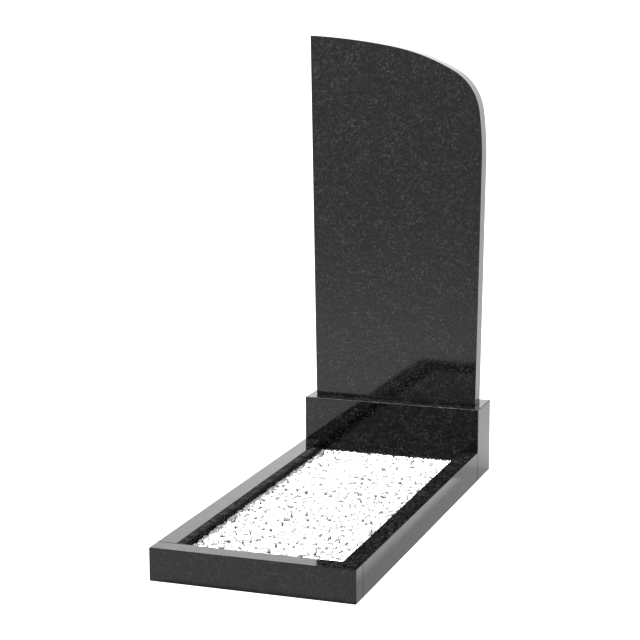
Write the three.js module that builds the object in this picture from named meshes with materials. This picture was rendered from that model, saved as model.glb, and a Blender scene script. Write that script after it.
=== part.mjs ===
// A polished black granite memorial: an upright stele with a lopsided curved head on a plinth block,
// and in front of it a kerbed grave surround filled with white marble chippings.
// Millimetres. +X to the viewer's right, +Y towards the back, +Z up.
// The origin is on the ground, at the middle of the memorial's footprint.

import * as THREE from "three";

// Driving dimensions

const memorialWidth = 500; // the plinth and the kerb set are flush with each other on both sides

const kerbHeight = 80;
const kerbThickness = 48;
const sideKerbLength = 1000;

const plinthDepth = 130;
const plinthHeight = 200;

const steleHeight = 1000;
const steleFootWidth = 460;
const steleHeadWidth = 490; // measured across the sides where they would reach the full height
const steleThickness = 50;

const joint = 0.5; // dry joint between two stones, and the bed under the stele
const arris = 1.5; // small polished chamfer on every edge of every stone

const fillDrop = 30; // the chippings' surface lies this far below the kerb tops
const fillClearance = 1; // between the outermost chippings and the stones around them
const chipSize = 15; // middle size of one chipping
const chipRelief = 7; // height between the lowest and the highest corners of the surface
const chipWander = 0.7; // share of a chipping that a corner of the surface strays from an even grid

// The stele's curved head, from its high left corner round to its right side. It starts a little below
// level and runs through three arcs. A fourth arc, worked out below, carries it into the right side.
// Radii are shares of the head width, and sweeps are degrees.

const headSlope = 2.75;
const headArcs = [
  { radius: 3.6, sweep: 7.6 },
  { radius: 1.14, sweep: 18.8 },
  { radius: 0.296, sweep: 53.2 },
];
const degreesPerFacet = 2;

// Places that follow from the dimensions

const surroundLength = kerbThickness + joint + sideKerbLength + joint;
const memorialLength = surroundLength + plinthDepth;
const frontY = -memorialLength / 2;
const sideKerbY = frontY + kerbThickness + joint;
const plinthY = frontY + surroundLength;
const steleY = plinthY + (plinthDepth - steleThickness) / 2;
const bedWidth = memorialWidth - 2 * kerbThickness;
const bedLength = sideKerbLength + 2 * joint;

// Materials

const polishedGranite = new THREE.MeshStandardMaterial({ color: 0x2e2e2f, roughness: 0.08, metalness: 0 });
const marbleChippings = new THREE.MeshStandardMaterial({ color: 0xf1f0ec, roughness: 0.8, metalness: 0 });

// An outline pushed through a thickness, with the arris on the rims of both faces

function extrudeWithArris(outline, thickness) {
  return new THREE.ExtrudeGeometry(outline, {
    depth: thickness - 2 * arris,
    bevelEnabled: true,
    bevelThickness: arris,
    bevelSize: arris,
    bevelOffset: -arris,
    bevelSegments: 1,
  }).translate(0, 0, arris);
}

// A sawn and polished block. Its near left bottom corner is at the origin.

function stoneBlock(width, depth, height) {
  const footprint = new THREE.Shape();
  footprint.moveTo(arris, 0);
  footprint.lineTo(width - arris, 0);
  footprint.lineTo(width, arris);
  footprint.lineTo(width, depth - arris);
  footprint.lineTo(width - arris, depth);
  footprint.lineTo(arris, depth);
  footprint.lineTo(0, depth - arris);
  footprint.lineTo(0, arris);
  footprint.closePath();
  return extrudeWithArris(footprint, height);
}

// Follows one arc that bends to the right, and returns where it ends

function addArc(points, start, heading, radius, sweep) {
  const centre = new THREE.Vector2(start.x + radius * Math.sin(heading), start.y - radius * Math.cos(heading));
  const facets = Math.max(2, Math.ceil(THREE.MathUtils.radToDeg(sweep) / degreesPerFacet));
  let end = start;
  for (let k = 1; k <= facets; k += 1) {
    const turned = heading - (sweep * k) / facets;
    end = new THREE.Vector2(centre.x - radius * Math.sin(turned), centre.y + radius * Math.cos(turned));
    points.push(end);
  }
  return end;
}

// The stele's outline, seen from the front, with the middle of its foot at the origin

function steleOutline() {
  const footLeft = new THREE.Vector2(-steleFootWidth / 2, 0);
  const footRight = new THREE.Vector2(steleFootWidth / 2, 0);
  const headLeft = new THREE.Vector2(-steleHeadWidth / 2, steleHeight);
  const headRight = new THREE.Vector2(steleHeadWidth / 2, steleHeight);

  // The left side meets the head in a sharp corner, which is cut back by the arris
  const upLeft = headLeft.clone().sub(footLeft).normalize();
  let heading = -THREE.MathUtils.degToRad(headSlope);
  const alongHead = new THREE.Vector2(Math.cos(heading), Math.sin(heading));
  const points = [
    new THREE.Vector2(footLeft.x + arris, 0),
    footLeft.clone().addScaledVector(upLeft, arris),
    headLeft.clone().addScaledVector(upLeft, -arris),
    headLeft.clone().addScaledVector(alongHead, arris),
  ];

  let end = points[points.length - 1];
  for (const arc of headArcs) {
    const sweep = THREE.MathUtils.degToRad(arc.sweep);
    end = addArc(points, end, heading, arc.radius * steleHeadWidth, sweep);
    heading -= sweep;
  }

  // The last arc touches the right side: both of its tangents, to where they cross, have one length
  const downRight = footRight.clone().sub(headRight).normalize();
  const sideHeading = Math.atan2(downRight.y, downRight.x);
  const lastSweep = heading - sideHeading;
  const ahead = new THREE.Vector2(Math.cos(heading), Math.sin(heading));
  const toSide = headRight.clone().sub(end);
  const tangent = toSide.cross(downRight) / ahead.cross(downRight);
  addArc(points, end, heading, tangent / Math.tan(lastSweep / 2), lastSweep);

  points.push(footRight.clone().addScaledVector(downRight, -arris));
  points.push(new THREE.Vector2(footRight.x - arris, 0));
  return new THREE.Shape(points.reverse());
}

// A number between 0 and 1 that looks random, and is the same every time for one grid place and one use.
// The factors only have to be large and unrelated to each other.

const scatterFactors = { column: 127.1, row: 311.7, use: 74.7, spread: 43758.5453 };

function scatter(column, row, use) {
  const { column: byColumn, row: byRow, use: byUse, spread } = scatterFactors;
  const wave = Math.sin(column * byColumn + row * byRow + use * byUse) * spread;
  return wave - Math.floor(wave);
}

// The bed of chippings: a block down to the ground whose top is broken into facets of a chipping's size.
// Its near left bottom corner is at the origin.

function chippingsBed(width, length, level) {
  const columns = Math.max(2, Math.round(width / chipSize));
  const rows = Math.max(2, Math.round(length / chipSize));
  const positions = [];
  const triangles = [];
  const grid = (column, row) => row * (columns + 1) + column;

  for (let row = 0; row <= rows; row += 1) {
    for (let column = 0; column <= columns; column += 1) {
      const inside = column > 0 && column < columns && row > 0 && row < rows;
      const shift = inside ? chipWander : 0; // the outermost corners stay in line
      positions.push(
        ((column + shift * (scatter(column, row, 1) - 0.5)) * width) / columns,
        ((row + shift * (scatter(column, row, 2) - 0.5)) * length) / rows,
        level + chipRelief * (scatter(column, row, 3) - 0.5),
      );
    }
  }
  for (let row = 0; row < rows; row += 1) {
    for (let column = 0; column < columns; column += 1) {
      const near = [grid(column, row), grid(column + 1, row)];
      const far = [grid(column, row + 1), grid(column + 1, row + 1)];
      if (scatter(column, row, 4) < 0.5) triangles.push(near[0], near[1], far[1], near[0], far[1], far[0]);
      else triangles.push(near[0], near[1], far[0], near[1], far[1], far[0]);
    }
  }

  // The rim of the top, counter-clockwise from above, with a corner on the ground under each of its own
  const rim = [];
  for (let column = 0; column < columns; column += 1) rim.push(grid(column, 0));
  for (let row = 0; row < rows; row += 1) rim.push(grid(columns, row));
  for (let column = columns; column > 0; column -= 1) rim.push(grid(column, rows));
  for (let row = rows; row > 0; row -= 1) rim.push(grid(0, row));
  const ground = positions.length / 3;
  for (const corner of rim) positions.push(positions[corner * 3], positions[corner * 3 + 1], 0);
  const middle = ground + rim.length;
  positions.push(width / 2, length / 2, 0);
  rim.forEach((corner, k) => {
    const after = (k + 1) % rim.length;
    triangles.push(corner, ground + k, ground + after, corner, ground + after, rim[after]);
    triangles.push(middle, ground + after, ground + k);
  });

  const bed = new THREE.BufferGeometry();
  bed.setAttribute("position", new THREE.Float32BufferAttribute(positions, 3));
  bed.setIndex(triangles);
  bed.computeVertexNormals();
  return bed;
}

function piece(name, geometry, material, x, y, z) {
  const mesh = new THREE.Mesh(geometry, material);
  mesh.name = name;
  mesh.position.set(x, y, z);
  return mesh;
}

// The kerb set: the front kerb runs the full width, and the side kerbs stand between it and the plinth

function kerbSet() {
  const kerbs = new THREE.Group();
  const left = -memorialWidth / 2;
  const right = memorialWidth / 2 - kerbThickness;
  const frontKerb = stoneBlock(memorialWidth, kerbThickness, kerbHeight);
  kerbs.add(piece("kerb_front", frontKerb, polishedGranite, left, frontY, 0));
  for (const [name, x] of [["kerb_left", left], ["kerb_right", right]]) {
    const sideKerb = stoneBlock(kerbThickness, sideKerbLength, kerbHeight);
    kerbs.add(piece(name, sideKerb, polishedGranite, x, sideKerbY, 0));
  }
  return kerbs;
}

// The headstone: the plinth on the ground, and the stele standing on the middle of it

function headstone() {
  const stones = new THREE.Group();
  const plinth = stoneBlock(memorialWidth, plinthDepth, plinthHeight);
  stones.add(piece("plinth", plinth, polishedGranite, -memorialWidth / 2, plinthY, 0));

  const stele = piece("stele", extrudeWithArris(steleOutline(), steleThickness), polishedGranite, 0, 0, 0);
  stele.rotation.x = Math.PI / 2; // stands the outline up, with its thickness running to the front
  stele.position.set(0, steleY + steleThickness, plinthHeight + joint);
  stones.add(stele);
  return stones;
}

// The chippings fill the kerb set from the ground up

function fill() {
  const width = bedWidth - 2 * fillClearance;
  const length = bedLength - 2 * fillClearance;
  const bed = chippingsBed(width, length, kerbHeight - fillDrop);
  return piece("chippings", bed, marbleChippings, -width / 2, frontY + kerbThickness + fillClearance, 0);
}

const memorial = new THREE.Group();
memorial.add(kerbSet(), headstone(), fill());

export default memorial;
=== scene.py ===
import math

import bmesh
import bpy
import numpy as np
from mathutils import Matrix, Vector


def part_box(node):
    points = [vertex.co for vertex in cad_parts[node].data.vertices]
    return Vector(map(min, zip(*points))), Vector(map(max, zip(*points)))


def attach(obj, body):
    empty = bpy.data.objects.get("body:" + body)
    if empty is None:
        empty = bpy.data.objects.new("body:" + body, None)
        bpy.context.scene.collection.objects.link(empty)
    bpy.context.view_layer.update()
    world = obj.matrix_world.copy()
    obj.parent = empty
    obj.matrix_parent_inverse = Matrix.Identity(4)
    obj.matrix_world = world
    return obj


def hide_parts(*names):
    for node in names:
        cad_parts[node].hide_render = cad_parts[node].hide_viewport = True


# A polished black granite headstone: a stele with a lopsided curved head on a plinth, and in front of it
# a kerbed grave surround filled with white marble chippings. Metres, in the part's own frame, +Z up.

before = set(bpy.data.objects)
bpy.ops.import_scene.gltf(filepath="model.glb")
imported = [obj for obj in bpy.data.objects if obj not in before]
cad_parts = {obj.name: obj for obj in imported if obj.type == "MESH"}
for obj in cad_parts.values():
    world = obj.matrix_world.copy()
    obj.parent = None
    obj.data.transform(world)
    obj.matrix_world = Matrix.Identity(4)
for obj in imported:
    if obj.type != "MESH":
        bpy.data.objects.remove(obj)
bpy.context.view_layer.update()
scene = bpy.context.scene
print("frame loaded:", ", ".join(sorted(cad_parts)))


def mm(value):
    return value / 1000


def hexToLinear(colour):
    channels = [int(colour[i:i + 2], 16) / 255 for i in (1, 3, 5)]
    return [c / 12.92 if c <= 0.04045 else ((c + 0.055) / 1.055) ** 2.4 for c in channels] + [1.0]


def addNode(tree, nodeType, inputs=None, **settings):
    # Inputs go by name, or by number where several share one: a mix of colours has its two at 6 and 7
    node = tree.nodes.new(nodeType)
    for name, value in settings.items():
        setattr(node, name, value)
    for socket, value in (inputs or {}).items():
        if isinstance(value, bpy.types.NodeSocket):
            tree.links.new(value, node.inputs[socket])
        else:
            node.inputs[socket].default_value = value
    return node


# The camera stands where the photograph was taken from. Its aim and lens come from the edges of the stones.

cameraStand = {
    "azimuth": 19.58,  # degrees to the right of straight ahead
    "elevation": 10.85,
    "roll": -0.19,
    "distance": 4.4916,
    "aim": (0.0, -0.0895, 0.4),
    "aimRight": -0.00975,  # moves the aim across the picture
    "aimUp": 0.1315,
    "lens": 102.64,
    "sensor": 36,
    "farthest": 200,  # past the far ends of the floor
}


def addCamera():
    stand = cameraStand
    azimuth, elevation, roll = (math.radians(stand[k]) for k in ("azimuth", "elevation", "roll"))
    back = Vector((
        math.sin(azimuth) * math.cos(elevation),
        -math.cos(azimuth) * math.cos(elevation),
        math.sin(elevation),
    ))
    right = Vector((math.cos(azimuth), math.sin(azimuth), 0))
    up = back.cross(right)
    aim = Vector(stand["aim"]) + right * stand["aimRight"] + up * stand["aimUp"]
    rolledRight = right * math.cos(roll) + up * math.sin(roll)
    rolledUp = up * math.cos(roll) - right * math.sin(roll)
    camera = bpy.data.objects.new("camera", bpy.data.cameras.new("camera"))
    camera.data.sensor_width = stand["sensor"]
    camera.data.lens = stand["lens"]
    camera.data.clip_end = stand["farthest"]
    turn = Matrix((rolledRight, rolledUp, back)).transposed().to_4x4()
    camera.matrix_world = Matrix.Translation(aim + back * stand["distance"]) @ turn
    scene.collection.objects.link(camera)
    scene.camera = camera


addCamera()
print("camera placed")


# Materials

halfWay = 0.5  # the middle of a noise, of a random number and of a colour ramp


def startFinish(name):
    # A new material, with its nodes, its shader and the place in metres that its patterns are laid out by
    material = bpy.data.materials.new(name)
    material.use_nodes = True
    tree = material.node_tree
    place = addNode(tree, "ShaderNodeTexCoord").outputs["Object"]
    return material, tree, tree.nodes["Principled BSDF"], place


polishedGabbro = {
    "name": "polished gabbro",
    "groundMass": ["#080808", "#121212", "#1f1f1f", "#303030"],  # pyroxene to plagioclase, darkest first
    "groundStops": (0.0, 0.5, 0.8, 1.0),  # half of the grains are darker than the second grey
    "grainMm": 4.5,
    "raggedness": 0.6,  # how far the grains' edges stray, as a share of a grain
    "raggedDetail": 2.0,
    "glint": "#454545",  # the brightest feldspar laths
    "glintStrength": 0.85,
    "lathMm": 8.0,
    "lathCore": (0.5, 0.2),  # distances from a lath's middle where it starts and where it is whole
    "clusterMm": 45,
    "clusterDetail": 3.0,
    "clusterEdge": (0.42, 0.58),  # cloud noise outside and inside the clusters
    "lathEdge": (0.38, 0.62),  # the same for the laths
    "lathBar": (0.95, 0.6),  # what a cell's random number has to pass to be a lath, outside and inside
    "lathRise": 0.3,  # how far past the bar a lath is at its brightest
    "calm": 0.7,  # how much of the ground's contrast is left between the clusters
    "roughness": 0.05,
    "ior": 1.4,  # a little under the minerals' own, which mirrors as the photograph's stones do
}

# The plinth and the kerbs take a darker, quieter copy of the same stone: painted shade that offsets the
# stronger light on the kerb tops and on the plinth's front beside the chippings
shadedQuietGabbro = dict(
    polishedGabbro, name="polished gabbro, shaded copy",
    groundMass=["#000000", "#040404", "#151515", "#272727"], glint="#303030", lathMm=6.0,
)

# The plinth's arrises are ground by hand and left dull; their lighter grey is a painted highlight, a light
# line along its edges
groundHighlightGabbro = dict(
    shadedQuietGabbro, name="ground gabbro, painted highlight",
    groundMass=["#191919", "#242424", "#303030", "#444444"], glint="#525252", roughness=0.5,
)


def makeGabbro(look):
    # Black gabbro, sold as black granite. Ground and polished to a mirror, it gives the eye a sharp
    # reflection over a near-black ground, with grey feldspar grains that gather in loose clouds.
    material, tree, shader, place = startFinish(look["name"])

    # Bends the cell walls, so that the grains are ragged like crystals
    grain = mm(look["grainMm"])
    ripple = addNode(
        tree, "ShaderNodeTexNoise", {"Vector": place, "Scale": 1 / grain, "Detail": look["raggedDetail"]},
    )
    centred = addNode(
        tree, "ShaderNodeVectorMath", {0: ripple.outputs["Color"], 1: (halfWay,) * 3}, operation="SUBTRACT",
    )
    bend = addNode(
        tree, "ShaderNodeVectorMath",
        {0: centred.outputs[0], "Scale": 2 * grain * look["raggedness"]}, operation="SCALE",
    )
    ragged = addNode(tree, "ShaderNodeVectorMath", {0: place, 1: bend.outputs[0]}, operation="ADD").outputs[0]

    # Clusters, where the grains stand out more and there are more laths
    cloud = addNode(
        tree, "ShaderNodeTexNoise",
        {"Vector": place, "Scale": 1 / mm(look["clusterMm"]), "Detail": look["clusterDetail"]},
    )
    outside, inside = look["clusterEdge"]
    contrast = addNode(
        tree, "ShaderNodeMapRange",
        {"Value": cloud.outputs["Fac"], "From Min": outside, "From Max": inside, "To Min": look["calm"]},
    )

    # One random grey for each grain
    grains = addNode(tree, "ShaderNodeTexVoronoi", {"Vector": ragged, "Scale": 1 / grain})
    grainPick = addNode(tree, "ShaderNodeSeparateColor", {0: grains.outputs["Color"]}).outputs[0]
    grey = addNode(
        tree, "ShaderNodeMix", {0: contrast.outputs[0], 2: halfWay, 3: grainPick}, data_type="FLOAT",
    )
    ground = addNode(tree, "ShaderNodeValToRGB", {"Fac": grey.outputs[0]})
    stops = ground.color_ramp.elements
    while len(stops) < len(look["groundMass"]):
        stops.new(halfWay)
    for stop, position, colour in zip(stops, look["groundStops"], look["groundMass"]):
        stop.position = position
        stop.color = hexToLinear(colour)

    # Feldspar laths: a few larger cells, bright in the middle, where the cloud noise lets them
    laths = addNode(tree, "ShaderNodeTexVoronoi", {"Vector": ragged, "Scale": 1 / mm(look["lathMm"])})
    lathPick = addNode(tree, "ShaderNodeSeparateColor", {0: laths.outputs["Color"]}).outputs[1]
    outside, inside = look["lathEdge"]
    highBar, lowBar = look["lathBar"]
    bar = addNode(
        tree, "ShaderNodeMapRange",
        {"Value": cloud.outputs["Fac"], "From Min": outside, "From Max": inside,
         "To Min": highBar, "To Max": lowBar},
    )
    chosen = addNode(tree, "ShaderNodeMath", {0: lathPick, 1: bar.outputs[0]}, operation="SUBTRACT")
    strength = addNode(
        tree, "ShaderNodeMapRange",
        {"Value": chosen.outputs[0], "From Max": look["lathRise"], "To Max": look["glintStrength"]},
    )
    starts, whole = look["lathCore"]
    core = addNode(
        tree, "ShaderNodeMapRange",
        {"Value": laths.outputs["Distance"], "From Min": starts, "From Max": whole},
        interpolation_type="SMOOTHSTEP",
    )
    lathMask = addNode(
        tree, "ShaderNodeMath", {0: strength.outputs[0], 1: core.outputs[0]}, operation="MULTIPLY",
    )
    colour = addNode(
        tree, "ShaderNodeMix",
        {0: lathMask.outputs[0], 6: ground.outputs["Color"], 7: hexToLinear(look["glint"])}, data_type="RGBA",
    )
    tree.links.new(colour.outputs[2], shader.inputs["Base Color"])
    shader.inputs["Roughness"].default_value = look["roughness"]
    shader.inputs["IOR"].default_value = look["ior"]
    return material


sawnGabbro = {
    "colours": ["#3b3b3c", "#57575a"],
    "grainMm": 2.6,
    "scoreMm": 7.9,  # from one score line of the saw to the next
    "scoreWander": 0.6,
    "scoreDepth": mm(0.2),
    "scoreStrength": 0.3,
    "roughness": 0.65,
}


def makeSawnGabbro(look):
    # The undersides are left as the saw made them: the same stone, but grey and dull, with faint score lines.
    material, tree, shader, place = startFinish("sawn gabbro")
    grains = addNode(tree, "ShaderNodeTexVoronoi", {"Vector": place, "Scale": 1 / mm(look["grainMm"])})
    pick = addNode(tree, "ShaderNodeSeparateColor", {0: grains.outputs["Color"]}).outputs[0]
    dark, light = (hexToLinear(c) for c in look["colours"])
    colour = addNode(tree, "ShaderNodeMix", {0: pick, 6: dark, 7: light}, data_type="RGBA")
    waveLength = math.tau / 20  # of the wave texture, at a scale of 1
    scores = addNode(
        tree, "ShaderNodeTexWave",
        {"Vector": place, "Scale": waveLength / mm(look["scoreMm"]), "Distortion": look["scoreWander"]},
        bands_direction="X",
    )
    bump = addNode(
        tree, "ShaderNodeBump",
        {"Height": scores.outputs["Fac"], "Strength": look["scoreStrength"], "Distance": look["scoreDepth"]},
    )
    tree.links.new(colour.outputs[2], shader.inputs["Base Color"])
    tree.links.new(bump.outputs[0], shader.inputs["Normal"])
    shader.inputs["Roughness"].default_value = look["roughness"]
    return material


marbleChips = {
    "tones": ["#b9b9b9", "#e0e0df", "#ecebea", "#e5e5e2"],  # grey, white, brightest white, off-white
    "toneStops": (0.0, 0.08, 0.7, 1.0),
    "unshadedAbove": mm(47.5),  # painted shade: above this height the chips keep their own colour, below it they darken into the gaps
    "fullyShadedBelow": mm(38),
    # the painted shade's grey, deep in the gaps between the chips
    "gapShade": "#5a5a59",
    "vein": "#aeaead",
    "veinMm": 9.0,
    "veinDetail": 4.0,
    "veinWander": 1.2,
    "veinEdge": (0.62, 0.72),  # vein noise at the outer and the inner edge of a vein
    "veinStrength": 0.5,
    "crystalMm": 1.1,
    "crystalDepth": mm(0.4),
    "crystalStrength": 0.35,
    "roughness": 0.6,
    "ior": 1.49,
}


def makeMarbleChips(look):
    # Crushed white marble. Fresh breaks show sugary crystals, most chips are white, and a few are
    # grey, off-white or veined.
    material, tree, shader, place = startFinish("crushed marble")
    tone = addNode(tree, "ShaderNodeAttribute", attribute_name="chipTone")
    ramp = addNode(tree, "ShaderNodeValToRGB", {"Fac": tone.outputs["Fac"]})
    stops = ramp.color_ramp.elements
    while len(stops) < len(look["tones"]):
        stops.new(halfWay)
    for stop, position, colour in zip(stops, look["toneStops"], look["tones"]):
        stop.position = position
        stop.color = hexToLinear(colour)
    veins = addNode(
        tree, "ShaderNodeTexNoise",
        {"Vector": place, "Scale": 1 / mm(look["veinMm"]), "Detail": look["veinDetail"],
         "Distortion": look["veinWander"]},
    )
    outer, inner = look["veinEdge"]
    veinMask = addNode(
        tree, "ShaderNodeMapRange",
        {"Value": veins.outputs["Fac"], "From Min": outer, "From Max": inner, "To Max": look["veinStrength"]},
    )
    veined = addNode(
        tree, "ShaderNodeMix",
        {0: veinMask.outputs[0], 6: ramp.outputs["Color"], 7: hexToLinear(look["vein"])}, data_type="RGBA",
    )
    # Painted shade: deeper down the colour darkens towards the painted shade's grey, so the gaps between the
    # chips look shadowed
    depth = addNode(tree, "ShaderNodeSeparateXYZ", {0: place})
    depthShade = addNode(
        tree, "ShaderNodeMapRange",
        {"Value": depth.outputs["Z"], "From Min": look["unshadedAbove"], "From Max": look["fullyShadedBelow"]},
    )
    colour = addNode(
        tree, "ShaderNodeMix",
        {0: depthShade.outputs[0], 6: veined.outputs[2], 7: hexToLinear(look["gapShade"])}, data_type="RGBA",
    )
    crystals = addNode(tree, "ShaderNodeTexVoronoi", {"Vector": place, "Scale": 1 / mm(look["crystalMm"])})
    bump = addNode(
        tree, "ShaderNodeBump",
        {"Height": crystals.outputs["Distance"], "Strength": look["crystalStrength"],
         "Distance": look["crystalDepth"]},
    )
    tree.links.new(colour.outputs[2], shader.inputs["Base Color"])
    tree.links.new(bump.outputs[0], shader.inputs["Normal"])
    shader.inputs["Roughness"].default_value = look["roughness"]
    shader.inputs["IOR"].default_value = look["ior"]
    return material


stoneFinish = makeGabbro(polishedGabbro)
# the darker copy for the plinth and kerbs, painted shade
shadedQuietFinish = makeGabbro(shadedQuietGabbro)
groundHighlightFinish = makeGabbro(groundHighlightGabbro)
undersideFinish = makeSawnGabbro(sawnGabbro)
chipFinish = makeMarbleChips(marbleChips)
print("materials made")


# Stones. Each is an outline pushed through a thickness, with every sharp edge rounded by the arris.

stoneWork = {
    "plinthArris": mm(2.0),
    "kerbArris": mm(1.5),
    "steleArris": mm(0.9),
    "arrisSteps": 3,
    "arrisProfile": 0.5,  # a quarter round
    "sharpEdge": math.radians(20),  # edges that turn more than this get the arris
    "faceDown": -0.9,  # faces whose normal dips below this are undersides
    "flatness": 100,  # the most, so that the large faces mirror as true planes
}


def addStone(node, outline, depthAxis, arris, finish, highlightArris=False):
    # The outline has (across, along) points, and depthAxis is the axis that it is pushed along
    low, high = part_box(node)
    mesh = bmesh.new()
    if depthAxis == "z":
        rims = [[mesh.verts.new((a, b, depth)) for a, b in outline] for depth in (low.z, high.z)]
    else:
        rims = [[mesh.verts.new((a, depth, b)) for a, b in outline] for depth in (low.y, high.y)]
    near, far = rims
    mesh.faces.new(near)
    mesh.faces.new(reversed(far))
    for k in range(len(outline)):
        after = (k + 1) % len(outline)
        mesh.faces.new((near[k], far[k], far[after], near[after]))
    bmesh.ops.recalc_face_normals(mesh, faces=mesh.faces)

    finishes = [finish, undersideFinish]
    arrisSlot = -1  # the arris takes the finish of the faces beside it
    # the plinth's arris takes the lighter finish, a painted highlight
    if highlightArris:
        arrisSlot = len(finishes)
        finishes.append(groundHighlightFinish)
    sharp = [e for e in mesh.edges if e.calc_face_angle(0) > stoneWork["sharpEdge"]]
    bmesh.ops.bevel(
        mesh, geom=sharp, offset=arris, segments=stoneWork["arrisSteps"],
        profile=stoneWork["arrisProfile"], affect="EDGES", clamp_overlap=False, material=arrisSlot,
    )
    for face in mesh.faces:
        face.smooth = True
        if face.normal.z < stoneWork["faceDown"]:
            face.material_index = finishes.index(undersideFinish)
    data = bpy.data.meshes.new(node + "_stone")
    mesh.to_mesh(data)
    mesh.free()
    for look in finishes:
        data.materials.append(look)
    stone = bpy.data.objects.new(node + "_stone", data)
    scene.collection.objects.link(stone)
    weighted = stone.modifiers.new("flat faces", "WEIGHTED_NORMAL")
    weighted.mode = "FACE_AREA"
    weighted.weight = stoneWork["flatness"]
    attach(stone, "root")
    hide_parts(node)


def addBlock(node, arris, highlightArris=False):
    low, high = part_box(node)
    corners = [(low.x, low.y), (high.x, low.y), (high.x, high.y), (low.x, high.y)]
    addStone(node, corners, "z", arris, shadedQuietFinish, highlightArris)


addBlock("plinth", stoneWork["plinthArris"], highlightArris=True)
for kerb in ("kerb_front", "kerb_left", "kerb_right"):
    addBlock(kerb, stoneWork["kerbArris"])
print("plinth and kerbs made")


# The stele's head falls in three arcs from its high left corner, and a fourth carries it into the right side.

steleHead = {
    "footWidth": mm(460),
    "headWidth": mm(490),  # where the sides would reach the full height
    "height": mm(1000),
    "slope": 2.75,  # degrees below level at the left corner
    "radii": (3.6, 1.14, 0.296),  # shares of the head width
    "sweeps": (7.6, 18.8, 53.2),  # degrees
    "degreesPerStep": 0.5,
}


def followArc(points, heading, radius, sweep):
    # Bends to the right from the last point, and adds the arc's points
    x, y = points[-1]
    centre = (x + radius * math.sin(heading), y - radius * math.cos(heading))
    steps = math.ceil(math.degrees(sweep) / steleHead["degreesPerStep"])
    for k in range(1, steps + 1):
        turned = heading - sweep * k / steps
        points.append((centre[0] - radius * math.sin(turned), centre[1] + radius * math.cos(turned)))


def steleOutline():
    head = steleHead
    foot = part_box("stele")[0].z
    halfFoot, halfHead, top = head["footWidth"] / 2, head["headWidth"] / 2, foot + head["height"]
    points = [(-halfFoot, foot), (-halfHead, top)]
    heading = -math.radians(head["slope"])
    for share, degrees in zip(head["radii"], head["sweeps"]):
        sweep = math.radians(degrees)
        followArc(points, heading, share * head["headWidth"], sweep)
        heading -= sweep
    # The last arc touches the right side: both of its tangents, to where they cross, have one length
    side = (Vector((halfFoot, foot)) - Vector((halfHead, top))).normalized()
    ahead = Vector((math.cos(heading), math.sin(heading)))
    gap = Vector((halfHead, top)) - Vector(points[-1])
    tangent = (gap.x * side.y - gap.y * side.x) / (ahead.x * side.y - ahead.y * side.x)
    lastSweep = heading - math.atan2(side.y, side.x)
    followArc(points, heading, tangent / math.tan(lastSweep / 2), lastSweep)
    points.append((halfFoot, foot))
    return points


addStone("stele", steleOutline(), "y", stoneWork["steleArris"], stoneFinish)
print("stele made")


# Marble chippings. Angular chips are cut from cubes, then dropped one by one onto a bed: each comes to rest
# on what lies below it, at the lowest of a few places, so that they lie packed without cutting each other.
# Small chips then fill the gaps that the others leave against the stones.

chipBed = {
    "seed": 7,
    "shapes": 90,
    "cuts": (5, 8),  # five to seven plane cuts turn a cube into a chip
    "cutDepth": (0.5, 0.72),  # where a cut passes, as a share of the way from the middle to a corner
    "length": (mm(10.5), mm(19)),
    "widthShare": (0.66, 0.95),
    "heightShare": (0.48, 0.78),
    "tilt": 13,  # degrees that a chip may lie out of level
    "bedding": mm(24),  # crushed stone under the loose chips, up to this height
    "beddingWaves": mm(3),
    "beddingCuts": 60,
    "cell": mm(1.25),  # of the height map that the chips land on
    "moulds": 600,  # chips of their own shape, size and lie, each dropped many times
    "drops": 9000,
    "smallLength": (mm(6), mm(9)),
    "smallDrops": 2400,
    "tries": 10,  # places that a chip tries before it settles on the lowest
    "upperLayer": mm(7),  # chips that reach into this much of the bed's top are a piece of their own
}


def cutChip(rng):
    # A cube of half size 1 with its corners and edges knocked off by flat breaks
    mesh = bmesh.new()
    bmesh.ops.create_cube(mesh, size=2)
    for _ in range(rng.integers(*chipBed["cuts"])):
        normal = Vector(rng.normal(size=3)).normalized()
        reach = sum(abs(n) for n in normal)
        bmesh.ops.bisect_plane(
            mesh, geom=mesh.verts[:] + mesh.edges[:] + mesh.faces[:],
            plane_co=normal * reach * rng.uniform(*chipBed["cutDepth"]), plane_no=normal, clear_outer=True,
        )
        rim = [e for e in mesh.edges if e.is_boundary]
        if rim:
            bmesh.ops.contextual_create(mesh, geom=rim)
    bmesh.ops.recalc_face_normals(mesh, faces=mesh.faces)
    mesh.verts.index_update()
    corners = np.array([v.co for v in mesh.verts])
    faces = [[v.index for v in f.verts] for f in mesh.faces]
    mesh.free()
    middle = (corners.min(0) + corners.max(0)) / 2
    return (corners - middle) / (np.ptp(corners, axis=0) / 2), faces


def turnMatrix(rng):
    yaw = rng.uniform(0, 2 * math.pi)
    tilt = math.radians(chipBed["tilt"]) * rng.uniform()
    about = rng.uniform(0, 2 * math.pi)
    lean = Matrix.Rotation(tilt, 3, Vector((math.cos(about), math.sin(about), 0)))
    return np.array(lean @ Matrix.Rotation(yaw, 3, "Z"))


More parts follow.
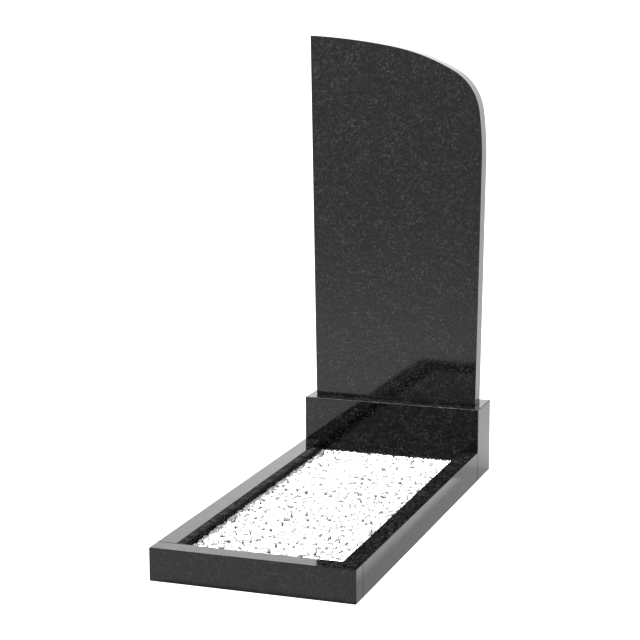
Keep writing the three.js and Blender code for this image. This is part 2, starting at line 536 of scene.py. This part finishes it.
def chipHeights(corners, faces, cell):
    # Heights of a chip's upper and lower skin over the cells that it covers, about its own middle
    sliver = 1e-12  # a face with no more area than this has no sure direction
    upright = 1e-3  # a face whose normal rises or falls less than this bounds no height
    reach = np.ceil(np.abs(corners[:, :2]).max(0) / cell).astype(int)
    x = np.arange(-reach[0], reach[0] + 1)[:, None] * cell
    y = np.arange(-reach[1], reach[1] + 1)[None, :] * cell
    upper = np.full((x.size, y.size), np.inf)
    lower = np.full((x.size, y.size), -np.inf)
    for face in faces:
        a, b, c = corners[face[:3]]
        normal = np.cross(b - a, c - a)
        size = np.linalg.norm(normal)
        if size <= sliver or abs(normal[2] / size) < upright:
            continue
        nx, ny, nz = normal / size
        height = (normal @ a / size - nx * x - ny * y) / nz
        if nz > 0:
            upper = np.minimum(upper, height)
        else:
            lower = np.maximum(lower, height)
    return reach, upper, lower, upper > lower


def makeMoulds(rng, lengths):
    bed = chipBed
    shapes = [cutChip(rng) for _ in range(bed["shapes"])]
    moulds = []
    for _ in range(bed["moulds"]):
        corners, faces = shapes[rng.integers(len(shapes))]
        share = np.array([1, rng.uniform(*bed["widthShare"]), rng.uniform(*bed["heightShare"])])
        corners = (corners * share * rng.uniform(*lengths) / 2) @ turnMatrix(rng).T
        moulds.append((corners, faces, *chipHeights(corners, faces, bed["cell"])))
    return moulds


def under(heights, reach, i, j):
    # The heights below a chip whose middle is over cell i, j
    return heights[i - reach[0]:i + reach[0] + 1, j - reach[1]:j + reach[1] + 1]


def layChips(rng, heights, low, high, lengths, drops, byStones):
    # byStones keeps the chips against the stones around the bed
    cell, size = chipBed["cell"], heights.shape
    moulds = makeMoulds(rng, lengths)
    chips = []
    for _ in range(drops):
        corners, faces, reach, upper, lower, covered = moulds[rng.integers(len(moulds))]
        best = None
        for _ in range(chipBed["tries"]):
            place = [np.clip(rng.integers(s), r, s - r - 1) for r, s in zip(reach, size)]
            if byStones:
                axis = rng.integers(2)
                place[axis] = rng.choice((reach[axis], size[axis] - reach[axis] - 1))
            i, j = place
            rest = (under(heights, reach, i, j) - lower)[covered].max()
            if best is None or rest < best[0]:
                best = (rest, i, j)
        rest, i, j = best
        if rest + corners[:, 2].max() > high.z:
            continue
        patch = under(heights, reach, i, j)
        patch[covered] = np.maximum(patch, rest + upper)[covered]
        # It rests over the middle of its cell
        spot = np.array([low.x + (i + 0.5) * cell, low.y + (j + 0.5) * cell, rest])
        chips.append((corners + spot, faces, rng.uniform()))
    return chips


def dropChips(low, high):
    bed = chipBed
    rng = np.random.default_rng(bed["seed"])
    size = np.floor((np.array(high[:2]) - np.array(low[:2])) / bed["cell"]).astype(int)
    heights = np.full(size, bed["bedding"])
    chips = layChips(rng, heights, low, high, bed["length"], bed["drops"], byStones=False)
    return chips + layChips(rng, heights, low, high, bed["smallLength"], bed["smallDrops"], byStones=True)


def addToBed(name, data):
    data.materials.append(chipFinish)
    piece = bpy.data.objects.new(name, data)
    scene.collection.objects.link(piece)
    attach(piece, "root")
    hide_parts("chippings")


def addChips(name, chips):
    corners, faces, tones, count = [], [], [], 0
    for chipCorners, chipFaces, tone in chips:
        corners.append(chipCorners)
        faces.extend([[i + count for i in face] for face in chipFaces])
        tones.append(np.full(len(chipCorners), tone))
        count += len(chipCorners)
    data = bpy.data.meshes.new(name)
    data.from_pydata(np.concatenate(corners).tolist(), [], faces)
    attribute = data.attributes.new("chipTone", "FLOAT", "POINT")
    attribute.data.foreach_set("value", np.concatenate(tones).astype(np.float32))
    addToBed(name, data)
    print(name, len(chips), "chips,", sum(len(face) - 2 for face in faces), "triangles")


def addBedding(low, high):
    # The crushed stone that the loose chips lie on, a closed slab with an uneven top
    rng = np.random.default_rng(chipBed["seed"] + 1)
    top = chipBed["bedding"]
    span = Vector((high.x - low.x, high.y - low.y, top))
    middle = Vector(((high.x + low.x) / 2, (high.y + low.y) / 2, top / 2))
    fit = Matrix.Translation(middle) @ Matrix.Diagonal((*span, 1))
    mesh = bmesh.new()
    bmesh.ops.create_cube(mesh, size=1, matrix=fit)
    lid = [e for e in mesh.edges if all(v.co.z > middle.z for v in e.verts)]
    bmesh.ops.subdivide_edges(mesh, edges=lid, cuts=chipBed["beddingCuts"], use_grid_fill=True)
    for v in mesh.verts:
        if v.co.z > middle.z:
            v.co.z -= rng.uniform(0, chipBed["beddingWaves"])
    data = bpy.data.meshes.new("chippings_bedding")
    mesh.to_mesh(data)
    mesh.free()
    addToBed("chippings_bedding", data)


def addChippings():
    low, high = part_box("chippings")
    chips = dropChips(low, high)
    upperFrom = high.z - chipBed["upperLayer"]
    addChips("chippings_upper", [c for c in chips if c[0][:, 2].max() > upperFrom])
    addChips("chippings_lower", [c for c in chips if c[0][:, 2].max() <= upperFrom])
    addBedding(low, high)


addChippings()
print("chippings laid")


# Studio: a light table for a floor, a big soft light from the upper left, and a surround that is brightest
# at the back, where the floor ends close behind the stones. The camera sees them all as plain white.
# The photograph's stones mirror the chippings as a dull mottled grey, so a mottled card lies over them.
# Only mirror images show it: a painted reflection of the chippings, with a painted shadow of the left kerb.

studio = {
    "floor": "#767676",
    "floorGlow": 0.66,
    "floorReach": {"left": -30, "right": 30, "front": -30, "back": 1.5},
    "cardGlow": (0.16, 0.62),
    "cardMottle": mm(13),
    "cardInset": mm(1),  # from the left end of the chippings
    "cardLift": mm(0.5),
    "shadowReach": (mm(6), mm(20)),  # from the left kerb: a painted shadow that darkens the card's glow beside it
    "shadowLight": 0.2,  # share of the card's glow left in the painted shadow
    "key": {"place": (-1.8, 0.2, 2.9), "aim": (0, -0.1, 0), "size": 0.8, "power": 560},
    "frontHorizon": 0.85,
    "backHorizon": 1.8,
    "frontToBack": (-0.9, 0.6),  # directions along Y between which the horizon brightens
    "zenith": 0.6,
    "horizonToZenith": (0.35, 0.7),  # directions along Z between which its light gives way to the zenith's
    "nadir": 0.8,  # share of the horizon's light that comes from below it, past the floor's end
    "nadirToHorizon": (-0.1, 0.05),  # directions along Z between which that share rises to the whole
}


def addSheet(name, x, y, z):
    # A level sheet between two values of x and of y, with the tree of its material left empty
    data = bpy.data.meshes.new(name)
    corners = [(x[0], y[0], z), (x[1], y[0], z), (x[1], y[1], z), (x[0], y[1], z)]
    data.from_pydata(corners, [], [(0, 1, 2, 3)])
    sheet = bpy.data.objects.new(name, data)
    scene.collection.objects.link(sheet)
    material = bpy.data.materials.new("glowing sheet " + name)  # matt, so it mirrors nothing
    material.use_nodes = True
    material.node_tree.nodes.clear()
    data.materials.append(material)
    return sheet


def splitForCamera(tree, lit, seen, output):
    # The stones are lit by one shader, and the camera sees the other
    eye = addNode(tree, "ShaderNodeLightPath").outputs["Is Camera Ray"]
    both = addNode(tree, "ShaderNodeMixShader", {0: eye, 1: lit.outputs[0], 2: seen.outputs[0]})
    addNode(tree, output, {"Surface": both.outputs[0]})


def addFloor():
    reach = studio["floorReach"]
    floor = addSheet("floor", (reach["left"], reach["right"]), (reach["front"], reach["back"]), 0)
    tree = floor.data.materials[0].node_tree
    matt = addNode(tree, "ShaderNodeBsdfDiffuse", {"Color": hexToLinear(studio["floor"])})
    glow = addNode(tree, "ShaderNodeEmission", {"Strength": studio["floorGlow"]})
    lit = addNode(tree, "ShaderNodeAddShader", {0: matt.outputs[0], 1: glow.outputs[0]})
    seen = addNode(tree, "ShaderNodeEmission", {"Strength": studio["backHorizon"]})
    splitForCamera(tree, lit, seen, "ShaderNodeOutputMaterial")


def addCard():
    # A painted reflection: the card glows a mottled grey that stands in for the chippings in mirror images
    low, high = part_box("chippings")
    across, along = (low.x + studio["cardInset"], high.x), (low.y, high.y)
    card = addSheet("card", across, along, high.z + studio["cardLift"])
    tree = card.data.materials[0].node_tree
    place = addNode(tree, "ShaderNodeTexCoord").outputs["Object"]
    chips = addNode(tree, "ShaderNodeTexVoronoi", {"Vector": place, "Scale": 1 / studio["cardMottle"]})
    pick = addNode(tree, "ShaderNodeSeparateColor", {0: chips.outputs["Color"]}).outputs[0]
    dull, bright = studio["cardGlow"]
    grey = addNode(tree, "ShaderNodeMapRange", {"Value": pick, "To Min": dull, "To Max": bright})
    # Painted shadow of the left kerb: the glow falls off towards the kerb
    side = addNode(tree, "ShaderNodeSeparateXYZ", {0: place}).outputs["X"]
    dark, light = (low.x + reach for reach in studio["shadowReach"])
    shadow = addNode(
        tree, "ShaderNodeMapRange",
        {"Value": side, "From Min": dark, "From Max": light, "To Min": studio["shadowLight"]},
    )
    shaded = addNode(tree, "ShaderNodeMath", {0: grey.outputs[0], 1: shadow.outputs[0]}, operation="MULTIPLY")
    glow = addNode(tree, "ShaderNodeEmission", {"Strength": shaded.outputs[0]})
    addNode(tree, "ShaderNodeOutputMaterial", {"Surface": glow.outputs[0]})
    for rays in ("camera", "diffuse", "transmission", "volume_scatter", "shadow"):
        setattr(card, "visible_" + rays, False)


def addKeyLight():
    key = studio["key"]
    lamp = bpy.data.objects.new("key", bpy.data.lights.new("key", "AREA"))
    lamp.data.shape = "SQUARE"
    lamp.data.size = key["size"]
    lamp.data.energy = key["power"]
    lamp.location = key["place"]
    aim = Vector(key["aim"]) - Vector(key["place"])
    lamp.rotation_euler = aim.to_track_quat("-Z", "Y").to_euler()
    scene.collection.objects.link(lamp)
    lamp.visible_glossy = False  # the stone mirrors the white surround and not the lamp


def addSurround():
    world = bpy.data.worlds.new("studio")
    world.use_nodes = True
    tree = world.node_tree
    tree.nodes.clear()
    direction = addNode(tree, "ShaderNodeTexCoord").outputs["Generated"]
    split = addNode(tree, "ShaderNodeSeparateXYZ", {0: direction})
    start, end = studio["frontToBack"]
    horizon = addNode(
        tree, "ShaderNodeMapRange",
        {"Value": split.outputs["Y"], "From Min": start, "From Max": end,
         "To Min": studio["frontHorizon"], "To Max": studio["backHorizon"]},
    )
    start, end = studio["horizonToZenith"]
    sky = addNode(
        tree, "ShaderNodeMapRange",
        {"Value": split.outputs["Z"], "From Min": start, "From Max": end,
         "To Min": horizon.outputs[0], "To Max": studio["zenith"]},
    )
    start, end = studio["nadirToHorizon"]
    below = addNode(
        tree, "ShaderNodeMapRange",
        {"Value": split.outputs["Z"], "From Min": start, "From Max": end, "To Min": studio["nadir"]},
    )
    light = addNode(tree, "ShaderNodeMath", {0: sky.outputs[0], 1: below.outputs[0]}, operation="MULTIPLY")
    white = (1, 1, 1, 1)
    lit = addNode(tree, "ShaderNodeBackground", {"Color": white, "Strength": light.outputs[0]})
    seen = addNode(tree, "ShaderNodeBackground", {"Color": white, "Strength": studio["backHorizon"]})
    splitForCamera(tree, lit, seen, "ShaderNodeOutputWorld")
    scene.world = world
    scene.view_settings.view_transform = "Standard"


addFloor()
addCard()
addKeyLight()
addSurround()
print("studio lit")
